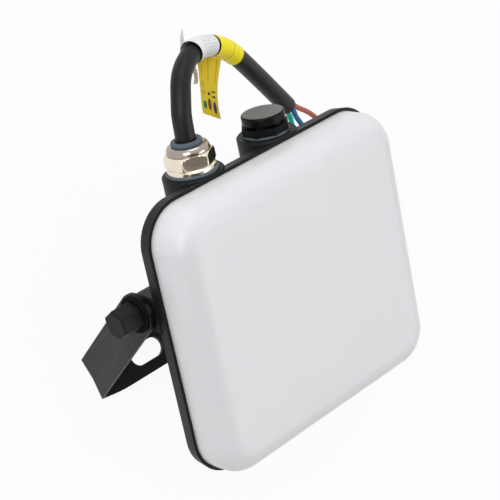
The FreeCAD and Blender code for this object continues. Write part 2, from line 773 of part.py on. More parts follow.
def make_arm():
    """Right half of the strap: base, fade of the crease, bend and slanted arm.

    The strap starts to swing backwards in the fade, by fade_shift times the square of the share
    gone, and goes on through the bend until it meets the arm's slant."""
    half_t = strap_thickness / 2
    bend_x = arm_inner - bend_radius
    bend_z = strap_thickness + bend_radius
    neutral = bend_radius + half_t
    fade_start = bend_x - crease_fade
    down = Vector(0, 0, -1)
    base = Part.Face(strap_section(0, half_t, down, 0)).extrude(Vector(fade_start, 0, 0))
    fading = []
    for step in range(fade_steps + 1):
        share = step / fade_steps
        section = strap_section(fade_start + crease_fade * share, half_t, down, crease_depth * share)
        section.translate(Vector(0, fade_shift * share ** 2, 0))
        fading.append(section)
    fade = Part.makeLoft(fading, True, True)
    bend_shift = arm_setback + bend_z * math.tan(slope)
    turns = []
    for step in range(bend_steps + 1):
        angle = math.pi / 2 * step / bend_steps
        outward = Vector(math.sin(angle), 0, -math.cos(angle))
        place = Vector(bend_x, 0, bend_z) + outward * neutral
        section = strap_section(place.x, place.z, outward, crease_depth)
        share = 1 - math.cos(angle)
        section.translate(Vector(0, fade_shift + (bend_shift - fade_shift) * share, 0))
        turns.append(section)
    bend = Part.makeLoft(turns, True, True)
    foot = Part.Face(strap_section(bend_x + neutral, bend_z, Vector(1, 0, 0), crease_depth))
    rise = tilt_height + strap_width - bend_z
    arm = foot.extrude(Vector(0, rise * math.tan(slope), rise))
    along = Vector(0, math.sin(slope), math.cos(slope))
    across = Vector(0, math.cos(slope), -math.sin(slope))
    pivot = Vector(arm_inner - 2, tilt_row.y, tilt_row.z)
    low = pivot - along * (2 * tilt_height)
    corners = [low - across * strap_width, pivot - across * strap_width,
               pivot + across * strap_width, low + across * strap_width]
    below = Part.Face(Part.makePolygon(corners + corners[:1])).extrude(Vector(strap_thickness + 4, 0, 0))
    tip = Part.makeCylinder(strap_width / 2, strap_thickness + 4, pivot, Vector(1, 0, 0))
    arm.translate(Vector(0, bend_shift, 0))
    arm = arm.common(below.fuse(tip))
    seat_zone = Part.makeCylinder(strap_width / 2, strap_thickness + 4, pivot, Vector(1, 0, 0))
    seat = Part.makeCylinder(strap_width / 2, strap_thickness, Vector(arm_inner, tilt_row.y, tilt_row.z),
                             Vector(1, 0, 0))
    hole = Part.makeCylinder(bolt_radius + bolt_hole_clearance, strap_thickness + 4, pivot, Vector(1, 0, 0))
    return [base, fade, bend, arm.cut(seat_zone), seat.cut(hole)]


def make_bracket():
    """One folded strap: flat base with two slots, two arms that lean to the tilt axis."""
    right = make_arm()
    left = [piece.mirror(Vector(0, 0, 0), Vector(1, 0, 0)) for piece in right]
    shape = right[0].multiFuse(right[1:] + left)
    reach = slot_length / 2 - slot_width / 2
    for side in (-1, 1):
        middle = side * slot_centre_x
        cutter = Part.makeBox(2 * reach, slot_width, strap_thickness + 2,
                              Vector(middle - reach, -slot_width / 2, -1))
        for end in (-reach, reach):
            cutter = cutter.fuse(rod(middle + end, 0, -1, slot_width / 2, strap_thickness + 2,
                                     Vector(0, 0, 1)))
        shape = shape.cut(cutter)
    return shape.removeSplitter()


def export_pivot(name, side):
    """Bolt, cap, outer washer and friction washer of one end of the tilt axis."""
    outwards = Vector(side, 0, 0)
    at = lambda x: Vector(side * x, tilt_y, tilt_z)
    phase = pivot_cap_phase
    friction_start = lug_outer
    washer_start = arm_outer + side_clearance
    head_start = washer_start + side_washer_thickness
    hole = bolt_radius + bush_clearance
    export_head("friction_washer_" + name,
                tube_ring(at(friction_start), friction_washer_radius, hole,
                          friction_washer_thickness, outwards))
    washer = Part.makeCylinder(side_washer_radius, side_washer_thickness, at(washer_start), outwards)
    washer = washer.makeChamfer(side_washer_bevel, in_plane_x(washer, side * head_start))
    export_head("side_washer_" + name,
                washer.cut(Part.makeCylinder(hole, side_washer_thickness, at(washer_start), outwards)))
    shank = Part.makeCylinder(bolt_radius, head_start - lug_outer + bolt_thread_depth - 1,
                              at(lug_outer - bolt_thread_depth + 1), outwards)
    head = polygon_prism(at(head_start), bolt_head_flats, 6, bolt_head_height, outwards, phase)
    export_head("pivot_bolt_" + name, shank.fuse(head))
    cap = polygon_prism(at(head_start), pivot_cap_flats, 6, pivot_cap_length, outwards, phase)
    cap = cap.makeChamfer(pivot_cap_bevel, in_plane_x(cap, side * (head_start + pivot_cap_length)))
    pocket = polygon_prism(at(head_start), bolt_head_flats + 2 * pivot_cap_fit, 6,
                           bolt_head_height + pivot_cap_fit, outwards, phase)
    export_head("pivot_cap_" + name, cap.cut(pocket))


def point_on_path(path, share):
    """Point and tangent at a share of a path's length."""
    left = share * path.Length
    for edge in path.Edges:
        if left <= edge.Length:
            value = edge.getParameterByLength(left)
            return edge.valueAt(value), edge.tangentAt(value)
        left -= edge.Length
    last = path.Edges[-1]
    return last.valueAt(last.LastParameter), last.tangentAt(last.LastParameter)


def make_sleeve(path, span):
    """Thin label wrapped round the cable between two shares of its length."""
    bore = cable_radius + label_clearance
    return round_tube(stretch(path, span), bore + label_thickness, bore)


def make_tag(rows):
    """Free end of a label: a thin strip through rows of left and right edge points."""
    sections = []
    for index, (left, right) in enumerate(rows):
        left, right = gland_seat + Vector(*left), gland_seat + Vector(*right)
        before = rows[max(index - 1, 0)]
        after = rows[min(index + 1, len(rows) - 1)]
        along = Vector(*after[0]) + Vector(*after[1]) - Vector(*before[0]) - Vector(*before[1])
        normal = along.cross(right - left).normalize() * (tag_thickness / 2)
        corners = [left - normal, right - normal, right + normal, left + normal]
        sections.append(Part.makePolygon(corners + corners[:1]))
    return Part.makeLoft(sections, True, True)


def from_gland(points):
    """Points measured from the gland's axis at the top of its boss, in the head's frame."""
    return [tuple(gland_seat + Vector(*point)) for point in points]


def make_cable():
    """Free cable from the gland's mouth to the jacket's end."""
    start = (0, 0, gland_top() + gland_seal_proud - cable_recess - gland_boss_top)
    first = (0, 0, cable_first_rise)
    return route_path(from_gland([start, first] + cable_route + [cable_end]), "cable")


def export_cores(end, tangent):
    """Three insulated cores out of the jacket, each with a bare tip."""
    side = tangent.cross(Vector(0, 1, 0)).normalize()
    lift = side.cross(tangent).normalize()
    tips = []
    for name, route in core_routes.items():
        across, up = core_seats[name]
        seat = end + side * across + lift * up
        path = route_path([tuple(seat), tuple(seat + tangent * core_exit)] + from_gland(route), name)
        export_head(name, round_tube(path, core_radius))
        last = path.Edges[-1]
        tips.append(Part.makeCylinder(bare_radius, bare_length, last.valueAt(last.LastParameter),
                                      last.tangentAt(last.LastParameter)))
    export_head("bare_tips", Part.makeCompound(tips))


up = Vector(0, 0, 1)
backwards = Vector(0, 1, 0)

export_head("housing", make_housing())
export_head("diffuser", make_diffuser())
export_head("diffuser_gasket", make_diffuser_gasket())
export_head("light_board", make_light_board())
export_head("led_chips", make_chips())
board_front = recess_depth - board_thickness
export_head("board_screws", Part.makeCompound(
    [plain_screw(Vector(x, board_front, z), backwards, board_screw_length)
     for x, z in board_screw_places()]))
export_head("driver", make_driver())
export_head("board_leads", make_leads())
export_head("terminal_block", make_terminal_block())
export_head("inner_cores", make_inner_cores())
export_head("cover_gasket", make_cover_gasket())
export_head("rear_cover", make_rear_cover())
export_head("cover_screws", Part.makeCompound(
    [socket_screw(Vector(x, cover_front_y + cover_thickness, z), backwards * -1,
                  cover_screw_length + cover_gasket_thickness) for x, z in pillar_places()]))

export_head("gland_washer", tube_ring(gland_axis + up * gland_boss_top, gland_washer_radius,
                                      gland_thread_radius, gland_washer_thickness, up))
export_head("gland_body", make_gland_body())
export_head("gland_bush", make_gland_bush())
export_head("gland_nut", make_gland_nut())
cable_mouth = gland_top() + gland_seal_proud - cable_recess
tail_end = box_height / 2 - box_wall
export_head("cable_tail", rod(gland_x, boss_axis_y, tail_end, cable_radius, cable_mouth - tail_end, up))

export_head("vent_washer", tube_ring(vent_axis + up * vent_boss_top, vent_washer_radius,
                                     vent_thread_radius, vent_washer_thickness, up))
export_head("vent_body", make_vent_body())
export_head("vent_membrane", make_vent_membrane())
export_head("vent_cap", make_vent_cap())

export_pivot("left", -1)
export_pivot("right", 1)
export("bracket", make_bracket())

cable_path = make_cable()
export_head("cable", round_tube(cable_path, cable_radius))
export_cores(*point_on_path(cable_path, 1.0))
export_head("white_label", make_sleeve(cable_path, white_label_span))
export_head("yellow_label", make_sleeve(cable_path, yellow_label_span))
export_head("yellow_tag", make_tag(yellow_tag_rows))
export_head("white_tag", make_tag(white_tag_rows))
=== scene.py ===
"""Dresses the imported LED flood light: finishes, smooth surfaces, free cable, light and camera."""
import math

import bmesh
import bpy
import numpy as np
from mathutils import Matrix


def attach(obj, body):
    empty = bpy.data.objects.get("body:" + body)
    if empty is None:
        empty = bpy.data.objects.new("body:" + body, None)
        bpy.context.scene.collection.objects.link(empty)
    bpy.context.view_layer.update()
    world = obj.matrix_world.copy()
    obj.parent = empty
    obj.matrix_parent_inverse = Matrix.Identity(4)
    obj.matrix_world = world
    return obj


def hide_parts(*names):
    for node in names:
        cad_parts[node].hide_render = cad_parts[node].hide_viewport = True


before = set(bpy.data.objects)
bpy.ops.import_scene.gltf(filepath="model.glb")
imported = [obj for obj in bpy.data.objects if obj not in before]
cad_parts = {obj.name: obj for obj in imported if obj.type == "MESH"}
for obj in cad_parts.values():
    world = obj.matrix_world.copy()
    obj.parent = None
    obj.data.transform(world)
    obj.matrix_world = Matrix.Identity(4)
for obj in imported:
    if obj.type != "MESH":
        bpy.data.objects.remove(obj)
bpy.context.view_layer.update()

MM = 0.001
HEAD = "head"
HELD = "bracket"

# The head is drawn upright in millimetres, x across, y backwards, z up, and leans back on its axis
LEAN = math.radians(65.0)
TILT_Y = 15.8
TILT_Z = 19.0
AXIS_Y = 22.4772
AXIS_Z = 66.1

# Sizes of the lamp, in millimetres
RIM_HALF_X = 75.0
RIM_HALF_Z = 69.15
RIM_CORNER = 20.8
LIP = 1.75
FRONT_HEIGHT = 19.5
FRONT_ROUND = 12.2
FRONT_SKIRT = 3.1
FRONT_WALL = 2.0
ARC_POINTS = 20
STRAIGHT_POINTS = 10
BOSS_TOP = 70.0
BOSS_Y = 13.2
GLAND_X = -29.9
VENT_X = 18.9
GLAND_FLATS = 21.2
GLAND_BASE = BOSS_TOP + 3.6
SHOULDER_FOOT = 6.85
SHOULDER_RISE = 3.05
SHOULDER_MOUTH = 8.3
SHOULDER_BULGE = 1.95
DOME_FROM = 6.5
BUSH_RADIUS = 7.2
WASHER_RADIUS = 12.5
WASHER_THICKNESS = 1.4
CABLE_RADIUS = 4.7
CORE_RADIUS = 1.35
LABEL_BORE = 5.0
LABEL_WALL = 0.2
TAG_WALL = 0.3
VENT_CAP_LOW = BOSS_TOP + 6.1
VENT_CAP_RADIUS = 10.5
VENT_CAP_HEIGHT = 4.3
VENT_CAP_EDGE = 0.9

CABLE_ROUTE = [
    (-29.9, 13.2, 81.8), (-29.9, 13.2, 95.1), (-26.7, 14.4, 103.2), (-22.6, 16.6, 111.4),
    (-15.2, 20.1, 116.0), (-4.7, 24.2, 118.3), (8.2, 28.9, 116.0), (20.1, 33.0, 110.5),
    (31.0, 36.9, 102.1), (42.0, 40.9, 90.8), (55.6, 45.5, 76.3), (69.9, 50.3, 60.6),
]
CORE_ROUTES = {
    "core_brown": [(80.2, 53.1, 55.2), (90.6, 56.2, 48.3), (98.6, 58.6, 40.4), (101.8, 60.4, 32.6)],
    "core_blue": [(76.8, 52.8, 51.6), (82.9, 54.8, 43.7), (84.9, 56.8, 35.8), (82.6, 58.8, 29.0)],
    "core_green": [(72.6, 52.0, 50.6), (74.4, 54.0, 43.0), (73.6, 56.0, 35.6), (71.2, 58.0, 28.8)],
}
# Where each core leaves the jacket's end, across and up from its middle, and how far it runs straight
CORE_SEATS = {"core_brown": (2.3, -1.2), "core_blue": (-0.4, -2.5), "core_green": (-2.6, -0.5)}
CORE_EXIT = 4.0

# The stretches of the cable under the labels, as shares of its length
WHITE_SPAN = (0.323, 0.442)
YELLOW_SPAN = (0.457, 0.603)
LABEL_RINGS = 90
LABEL_SPOKES = 144
LABEL_FLARE = 0.6
LABEL_LIFT = (-0.5, 0.8, 0.35)

# The labels' free ends, row by row from the cable down: left edge, right edge
YELLOW_TAG = [
    ((0.2, 29.4, 113.9), (16.2, 31.0, 106.4)),
    ((-3.2, 26.2, 105.0), (10.6, 30.1, 97.3)),
    ((-5.4, 25.4, 96.0), (7.5, 29.4, 89.6)),
    ((-6.6, 25.0, 88.0), (6.4, 28.9, 79.7)),
]
WHITE_TAG = [
    ((-5.2, 29.2, 127.9), (1.2, 36.0, 125.4)),
    ((-8.0, 29.2, 121.3), (0.7, 36.0, 118.8)),
    ((-5.6, 29.2, 113.1), (2.6, 36.0, 111.2)),
    ((-4.1, 29.1, 107.5), (3.3, 35.0, 104.9)),
    ((-5.3, 29.0, 101.4), (1.7, 34.5, 98.8)),
]

# Finish, in metres
GRAIN_DEPTH = 0.0002
SCATTER_REACH = 0.007

# Studio, in metres and watts: the dark card that the bright metal mirrors, the floor, the sky, and
# the lamps with their place, size and power
CARD = [(-0.75, -0.55, 0.30), (0.15, -0.85, 0.30), (0.15, -0.45, 1.10), (-0.75, -0.15, 1.10)]
FLOOR_REACH = 4.0
FLOOR_DROP = 0.0004
FLOOR_WHITE = 0.93
BRIGHT_SIDE = (0.25, 0.92, 0.30)
SKY_TURN = 0.7
SKY_DIM = 0.18
SKY_BRIGHT = 0.70
LAMP_AIM = (0, 0.03, 0.07)
LAMPS = {
    "back_lamp": ((0.1, 1.1, 1.15), 1.0, 5.8),
    "left_lamp": ((-1.2, 0.25, 1.2), 0.8, 10.8),
    "front_lamp": ((0.7, -0.9, 1.0), 1.0, 6.4),
}

# Camera solved from the photograph, in the upright head's axes
CAMERA_PLACE = (-489.87, -549.79, 329.81)
CAMERA_RIGHT = (0.69006262, -0.69813205, -0.19085392)
CAMERA_DOWN = (-0.40278241, -0.15134968, -0.90269574)
CAMERA_AHEAD = (0.60131515, 0.69978919, -0.38563606)
CAMERA_LENS = 122.09


def turned_back(vectors):
    """Directions of the upright head turned by LEAN about X: y' = c*y + s*z, z' = -s*y + c*z."""
    v = np.asarray(vectors, dtype=float)
    cos, sin = math.cos(LEAN), math.sin(LEAN)
    return np.stack([v[..., 0], cos * v[..., 1] + sin * v[..., 2], cos * v[..., 2] - sin * v[..., 1]], -1)


def in_row(points):
    """Points of the upright head, in mm, moved to the leaning head in the row frame, in metres."""
    p = np.asarray(points, dtype=float) - (0, TILT_Y, TILT_Z)
    return (turned_back(p) + (0, AXIS_Y, AXIS_Z)) * MM


def finish(name, colour, second=None, roughness=0.5, metallic=0.0, mottle=60.0, grain=0.0, grain_size=900.0,
           specular=0.5, subsurface=0.0, rough_spread=0.06):
    """Procedural material: a mottled colour, a roughness that wanders, and a fine bumped grain."""
    material = bpy.data.materials.new(name)
    material.use_nodes = True
    tree = material.node_tree
    shader = tree.nodes["Principled BSDF"]
    place = tree.nodes.new("ShaderNodeTexCoord")
    cloud = tree.nodes.new("ShaderNodeTexNoise")
    cloud.inputs["Scale"].default_value = mottle
    cloud.inputs["Detail"].default_value = 5.0
    tree.links.new(place.outputs["Object"], cloud.inputs["Vector"])
    blend = tree.nodes.new("ShaderNodeMix")
    blend.data_type = "RGBA"
    blend.inputs[6].default_value = (*colour, 1.0)
    blend.inputs[7].default_value = (*(second or [value * 0.82 for value in colour]), 1.0)
    tree.links.new(cloud.outputs["Fac"], blend.inputs[0])
    tree.links.new(blend.outputs[2], shader.inputs["Base Color"])
    spread = tree.nodes.new("ShaderNodeMapRange")
    spread.inputs["To Min"].default_value = max(roughness - rough_spread, 0.02)
    spread.inputs["To Max"].default_value = min(roughness + rough_spread, 1.0)
    tree.links.new(cloud.outputs["Fac"], spread.inputs["Value"])
    tree.links.new(spread.outputs["Result"], shader.inputs["Roughness"])
    if grain:
        speck = tree.nodes.new("ShaderNodeTexNoise")
        speck.inputs["Scale"].default_value = grain_size
        speck.inputs["Detail"].default_value = 3.0
        bump = tree.nodes.new("ShaderNodeBump")
        bump.inputs["Strength"].default_value = grain
        bump.inputs["Distance"].default_value = GRAIN_DEPTH
        tree.links.new(place.outputs["Object"], speck.inputs["Vector"])
        tree.links.new(speck.outputs["Fac"], bump.inputs["Height"])
        tree.links.new(bump.outputs["Normal"], shader.inputs["Normal"])
    shader.inputs["Metallic"].default_value = metallic
    shader.inputs["Specular IOR Level"].default_value = specular
    if subsurface:
        shader.inputs["Subsurface Weight"].default_value = subsurface
        shader.inputs["Subsurface Radius"].default_value = (1.0, 1.0, 1.0)
        shader.inputs["Subsurface Scale"].default_value = SCATTER_REACH
    return material


def print_over(material):
    """Lays a piece's own painted fields, held in a colour attribute, over the material's colour: printed
    marks, and on the yellow sleeve a painted shade and a painted highlight.
    """
    tree = material.node_tree
    shader = tree.nodes["Principled BSDF"]
    under = shader.inputs["Base Color"].links[0].from_socket
    fields = tree.nodes.new("ShaderNodeAttribute")
    fields.attribute_name = "print_and_shade"
    over = tree.nodes.new("ShaderNodeMix")
    over.data_type = "RGBA"
    tree.links.new(fields.outputs["Alpha"], over.inputs[0])
    tree.links.new(under, over.inputs[6])
    tree.links.new(fields.outputs["Color"], over.inputs[7])
    tree.links.new(over.outputs[2], shader.inputs["Base Color"])
    return material


cast_paint = finish("cast_paint", (0.010, 0.010, 0.010), roughness=0.48, grain=0.35, grain_size=1400.0,
                    specular=0.17)
strap_paint = finish("strap_paint", (0.022, 0.022, 0.0225), roughness=0.46, grain=0.3, grain_size=1500.0,
                     specular=0.2)
# Painted shade: a near-black copy of the strap paint for the strap's edge faces, standing in for the shade
# on them
strap_edge_painted_shade = finish("strap_edge_painted_shade", (0.006, 0.006, 0.006), roughness=0.4, grain=0.2, specular=0.12)
opal = finish("opal_front", (0.78, 0.785, 0.795), (0.765, 0.772, 0.785), roughness=0.36, mottle=14.0,
              specular=0.45, subsurface=0.5, rough_spread=0.03)
nickel = finish("nickel_plate", (0.90, 0.81, 0.68), (0.76, 0.67, 0.55), roughness=0.18, metallic=1.0,
                mottle=260.0, grain=0.3, grain_size=600.0, rough_spread=0.1)
# Painted shade: a darker copy of the nickel for the nut's dome, standing in for the darker reflections it
# shows
nickel_dome_painted_shade = finish("nickel_dome_painted_shade", (0.44, 0.39, 0.335), (0.34, 0.295, 0.25), roughness=0.16, metallic=1.0,
                     mottle=240.0, grain=0.3, grain_size=600.0, rough_spread=0.1)
seal_rubber = finish("blue_grey_rubber", (0.10, 0.13, 0.153), (0.08, 0.105, 0.13), roughness=0.5,
                     specular=0.2)
black_rubber = finish("black_rubber", (0.006, 0.006, 0.006), roughness=0.75, grain=0.2, specular=0.06)
vent_gloss = finish("vent_plastic", (0.005, 0.005, 0.005), roughness=0.36, specular=0.11)
vent_matt = finish("vent_base", (0.005, 0.005, 0.005), roughness=0.55, specular=0.08)
# Painted light: a grey copy of the vent's black plastic for the cap's flat top, standing in for the light
# falling on it from behind and above
lid_top_painted_light = finish("lid_top_painted_light", (0.17, 0.17, 0.165), (0.13, 0.13, 0.128), roughness=0.55, grain=0.2)
cap_paint = finish("cap_paint", (0.012, 0.012, 0.0125), roughness=0.36, grain=0.2, specular=0.12)
jacket = finish("cable_jacket", (0.011, 0.0107, 0.0103), roughness=0.42, mottle=200.0, grain=0.25,
                grain_size=1800.0, specular=0.2)
brown_core = finish("brown_core", (0.54, 0.11, 0.065), roughness=0.5, specular=0.25)
blue_core = finish("blue_core", (0.0, 0.165, 0.42), roughness=0.5, specular=0.2)
green_core = finish("green_core", (0.0, 0.62, 0.45), roughness=0.5, specular=0.2)
copper = finish("copper_strand", (0.72, 0.36, 0.22), roughness=0.35, metallic=1.0)
screw_steel = finish("screw_steel", (0.42, 0.42, 0.43), roughness=0.35, metallic=1.0)
dark_screw = finish("dark_screw", (0.05, 0.05, 0.05), roughness=0.35, metallic=0.6)
board_white = finish("board_white", (0.78, 0.79, 0.78), roughness=0.4)
phosphor = finish("phosphor", (0.85, 0.62, 0.10), roughness=0.45)
terminal_grey = finish("terminal_grey", (0.35, 0.36, 0.36), roughness=0.5)
# Painted shade: the vent's membrane is coloured near black for the shade behind the cap's slits
membrane_painted_shade = finish("membrane_painted_shade", (0.02, 0.02, 0.02), roughness=0.7)
white_film = print_over(finish("white_film", (0.86, 0.865, 0.87), roughness=0.4, specular=0.3))
yellow_film = print_over(finish("yellow_film", (0.96, 0.82, 0.004), (0.92, 0.76, 0.004), roughness=0.35,
                                specular=0.15))
# Painted shade: the yellow label's hanging flag gets a darker copy of the label's yellow, for the shade it
# hangs in
tag_film_painted_shade = print_over(finish("tag_film_painted_shade", (0.80, 0.58, 0.012), (0.64, 0.46, 0.010), roughness=0.4,
                             specular=0.15))

NODE_FINISH = {
    "housing": cast_paint, "rear_cover": cast_paint, "diffuser": opal, "bracket": strap_paint,
    "gland_washer": seal_rubber, "gland_bush": seal_rubber, "vent_washer": seal_rubber,
    "gland_body": nickel, "gland_nut": nickel, "vent_body": vent_matt, "vent_cap": vent_gloss,
    "vent_membrane": membrane_painted_shade, "cable_tail": jacket, "cable": jacket, "driver": black_rubber,
    "diffuser_gasket": black_rubber, "cover_gasket": black_rubber, "light_board": board_white,
    "led_chips": phosphor, "board_screws": screw_steel, "cover_screws": dark_screw,
    "board_leads": jacket, "inner_cores": brown_core, "terminal_block": terminal_grey,
    "core_brown": brown_core, "core_blue": blue_core, "core_green": green_core, "bare_tips": copper,
    "white_label": white_film, "yellow_label": yellow_film, "yellow_tag": tag_film_painted_shade, "white_tag": white_film,
}
for side in ("left", "right"):
    NODE_FINISH["friction_washer_" + side] = black_rubber
    NODE_FINISH["side_washer_" + side] = black_rubber
    NODE_FINISH["pivot_bolt_" + side] = dark_screw
    NODE_FINISH["pivot_cap_" + side] = cap_paint
for node_name, node_material in NODE_FINISH.items():
    node_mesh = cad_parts[node_name].data
    node_mesh.materials.clear()
    node_mesh.materials.append(node_material)


def place_piece(name, mesh, material, body, replaced=(), sharp=35.0):
    """Puts a mesh into the scene as a piece that rides on a body, smooth but for its sharp edges."""
    mesh.materials.clear()
    mesh.materials.append(material)
    mesh.shade_smooth()
    mesh.set_sharp_from_angle(angle=math.radians(sharp))
    piece = bpy.data.objects.new(name, mesh)
    bpy.context.scene.collection.objects.link(piece)
    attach(piece, body)
    if replaced:
        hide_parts(*replaced)
    return piece


def outward(mesh):
    """Turns every face of a closed mesh outwards."""
    work = bmesh.new()
    work.from_mesh(mesh)
    bmesh.ops.recalc_face_normals(work, faces=work.faces)
    work.to_mesh(mesh)
    work.free()


def skin(name, rings, capped=True):
    """Mesh through rings of points, shape (rings, points, 3): quads between neighbours, and with
    capped a fan from the middle of the first and the last ring; otherwise the last joins the first."""
    rows, columns = rings.shape[:2]
    index = np.arange(rows * columns).reshape(rows, columns)
    beside = np.roll(index, -1, axis=1)
    if not capped:
        index = np.concatenate([index, index[:1]])
        beside = np.concatenate([beside, beside[:1]])
    quads = np.stack([index[:-1], beside[:-1], beside[1:], index[1:]], -1).reshape(-1, 4).tolist()
    points = rings.reshape(-1, 3)
    fans = []
    if capped:
        points = np.concatenate([points, rings[0].mean(0)[None], rings[-1].mean(0)[None]])
        low, high = rows * columns, rows * columns + 1
        fans = np.stack([np.full(columns, low), beside[0], index[0]], -1).tolist()
        fans += np.stack([np.full(columns, high), index[-1], beside[-1]], -1).tolist()
    mesh = bpy.data.meshes.new(name)
    mesh.from_pydata(points.tolist(), [], quads + fans)
    outward(mesh)
    return mesh


def merged_copy(node, material, bevel=0.0, sharp=35.0):
    """Copy of a model node with its loose triangles joined and, where asked, its edges rounded."""
    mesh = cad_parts[node].data.copy()
    work = bmesh.new()
    work.from_mesh(mesh)
    bmesh.ops.remove_doubles(work, verts=work.verts, dist=2e-6)
    bmesh.ops.dissolve_limit(work, angle_limit=math.radians(0.4), verts=work.verts, edges=work.edges)
    work.to_mesh(mesh)
    work.free()
    body = HELD if node == "bracket" else HEAD
    piece = place_piece(node + "_surface", mesh, material, body, (node,), sharp)
    if bevel:
        rounding = piece.modifiers.new("edges", "BEVEL")
        rounding.width = bevel * MM
        rounding.segments = 2
        rounding.limit_method = "ANGLE"
        rounding.angle_limit = math.radians(sharp)
        rounding.harden_normals = True
    return piece


def face_vectors(piece, kind):
    """The 'center' or the 'normal' of every face of a piece, one row each."""
    values = np.empty(len(piece.data.polygons) * 3)
    piece.data.polygons.foreach_get(kind, values)
    return values.reshape(-1, 3)


def finish_faces(piece, material, chosen):
    """Gives the chosen faces of a piece a second material."""
    piece.data.materials.append(material)
    piece.data.polygons.foreach_set("material_index", chosen.astype(int))


def rounded_ring(inset, y):
    """Rounded rectangle of the front: half sizes and corner radius less the inset, at depth y.

    Each quarter is an arc about its corner centre, ended by the straight to the next quarter. Arcs
    and straights have the same number of points at any inset, so that the rings match."""
    half_x = RIM_HALF_X - LIP - inset
    half_z = RIM_HALF_Z - LIP - inset
    radius = max(RIM_CORNER - LIP - inset, 0.5)
    arc = np.linspace(0, math.pi / 2, ARC_POINTS)
    corners = []
    for quarter, (sx, sz) in enumerate(((1, 1), (-1, 1), (-1, -1), (1, -1))):
        turn = arc + quarter * math.pi / 2
        x = sx * (half_x - radius) + radius * np.cos(turn)
        z = sz * (half_z - radius) + radius * np.sin(turn)
        corners.append(np.stack([x, np.full(ARC_POINTS, y), z], -1))
    ring = []
    for quarter in range(4):
        here, ahead = corners[quarter], corners[(quarter + 1) % 4]
        share = np.linspace(0, 1, STRAIGHT_POINTS + 2)[1:-1, None]
        ring += [here, here[-1] * (1 - share) + ahead[0] * share]
    return np.concatenate(ring)


def opal_front():
    """Pillow shell: rings of the rounded rectangle along a profile that goes up the side, round the
    front edge (inset R(1-cos a), depth R sin a) and inwards to the middle, then back one wall inside."""
    def rings(wall):
        bend = np.linspace(0, math.pi / 2, ARC_POINTS)
        radius = FRONT_ROUND - wall
        straight = FRONT_ROUND - FRONT_HEIGHT
        profile = [(wall, FRONT_SKIRT), (wall, FRONT_SKIRT - 2.5), (wall, straight / 2)]
        profile += [(wall + radius * (1 - math.cos(a)), straight - radius * math.sin(a)) for a in bend]
        walk = [rounded_ring(inset, y) for inset, y in profile]
        middle = walk[-1].mean(0)
        walk += [middle + (walk[-1] - middle) * scale for scale in (0.8, 0.55, 0.3, 0.08)]
        return np.array(walk)
    outer, inner = rings(0.0), rings(FRONT_WALL)
    return skin("opal_front", in_row(np.concatenate([inner[::-1], outer])))


def turned_rings(steps, centre, count=160):
    """Rings about the upright axis at centre from pairs of radius and height; a radius may be a
    function of the angle."""
    angle = np.linspace(0, 2 * math.pi, count, endpoint=False)
    rings = []
    for radius, height in steps:
        reach = radius(angle) if callable(radius) else np.full(count, float(radius))
        rings.append(np.stack([centre[0] + reach * np.cos(angle), centre[1] + reach * np.sin(angle),
                               np.full(count, centre[2] + height)], -1))
    return np.array(rings)


def hexagon_radius(flats, limit):
    """Distance to a hexagon in a direction, a / cos(angle from the nearest flat), cut at limit."""
    def reach(angle):
        step = math.pi / 3
        off = (angle - step / 2) % step - step / 2
        return np.minimum(flats / 2 / np.cos(off), limit)
    return reach


def gland_nut():
    """Cap nut: hexagon cut by a bevel cone at both ends, then a shoulder that bulges as half an
    ellipse from the hexagon to the mouth, and the bore back down."""
    crown = GLAND_FLATS / 2 / math.cos(math.pi / 6) - 0.12
    steps = []
    for height, limit in ((0.0, 11.1), (0.3, 11.6), (0.6, 11.95), (0.9, crown), (5.1, crown),
                          (5.55, 11.8), (6.0, 11.2), (6.3, 10.7), (6.4, 10.45), (6.45, 9.9), (6.75, 9.9)):
        steps.append((hexagon_radius(GLAND_FLATS, limit), height))
    for turn in np.linspace(0, math.pi / 2, 14):
        steps.append((SHOULDER_MOUTH + SHOULDER_BULGE * math.cos(turn),
                      SHOULDER_FOOT + SHOULDER_RISE * math.sin(turn)))
    steps += [(8.0, 10.0), (BUSH_RADIUS + 0.02, 9.9), (BUSH_RADIUS + 0.02, 3.25), (9.02, 3.2), (9.02, 0.0)]
    rings = turned_rings(steps, (GLAND_X, BOSS_Y, GLAND_BASE))
    return skin("gland_nut_surface", in_row(rings), capped=False)


def gland_bush():
    """Rubber bush: its lip above the nut swells outwards and is rounded, its bore holds the cable."""
    steps = [(7.18, 0.0), (7.18, 9.6), (7.35, 9.9), (7.45, 10.5), (7.4, 11.2), (7.15, 11.7), (6.7, 11.95),
             (5.7, 11.9), (5.0, 11.5), (4.77, 11.0), (4.77, 0.0)]
    rings = turned_rings(steps, (GLAND_X, BOSS_Y, GLAND_BASE))
    return skin("gland_bush_surface", in_row(rings), capped=False)


def gland_seal():
    """Washer under the gland: a flat ring whose outer edge is rounded above and below."""
    steps = [(8.1, 0.0), (WASHER_RADIUS - 0.3, 0.0), (WASHER_RADIUS, 0.35), (WASHER_RADIUS, 1.0),
             (WASHER_RADIUS - 0.35, WASHER_THICKNESS), (8.1, WASHER_THICKNESS)]
    rings = turned_rings(steps, (GLAND_X, BOSS_Y, BOSS_TOP))
    return skin("gland_seal_surface", in_row(rings), capped=False)


def vent_cap():
    """Round cap: flat top with a soft edge, straight side and a small lip round its underside."""
    steps = [(6.6, 1.2), (6.6, 0.0), (10.1, 0.0), (10.4, 0.15), (VENT_CAP_RADIUS, 0.4)]
    for turn in np.linspace(0, math.pi / 2, 8):
        steps.append((VENT_CAP_RADIUS - VENT_CAP_EDGE * (1 - math.cos(turn)),
                      VENT_CAP_HEIGHT - 0.05 - VENT_CAP_EDGE * (1 - math.sin(turn))))
    steps += [(7.0, VENT_CAP_HEIGHT - 0.01), (3.0, VENT_CAP_HEIGHT)]
    rings = turned_rings(steps, (VENT_X, BOSS_Y, VENT_CAP_LOW))
    return skin("vent_cap_surface", in_row(rings))


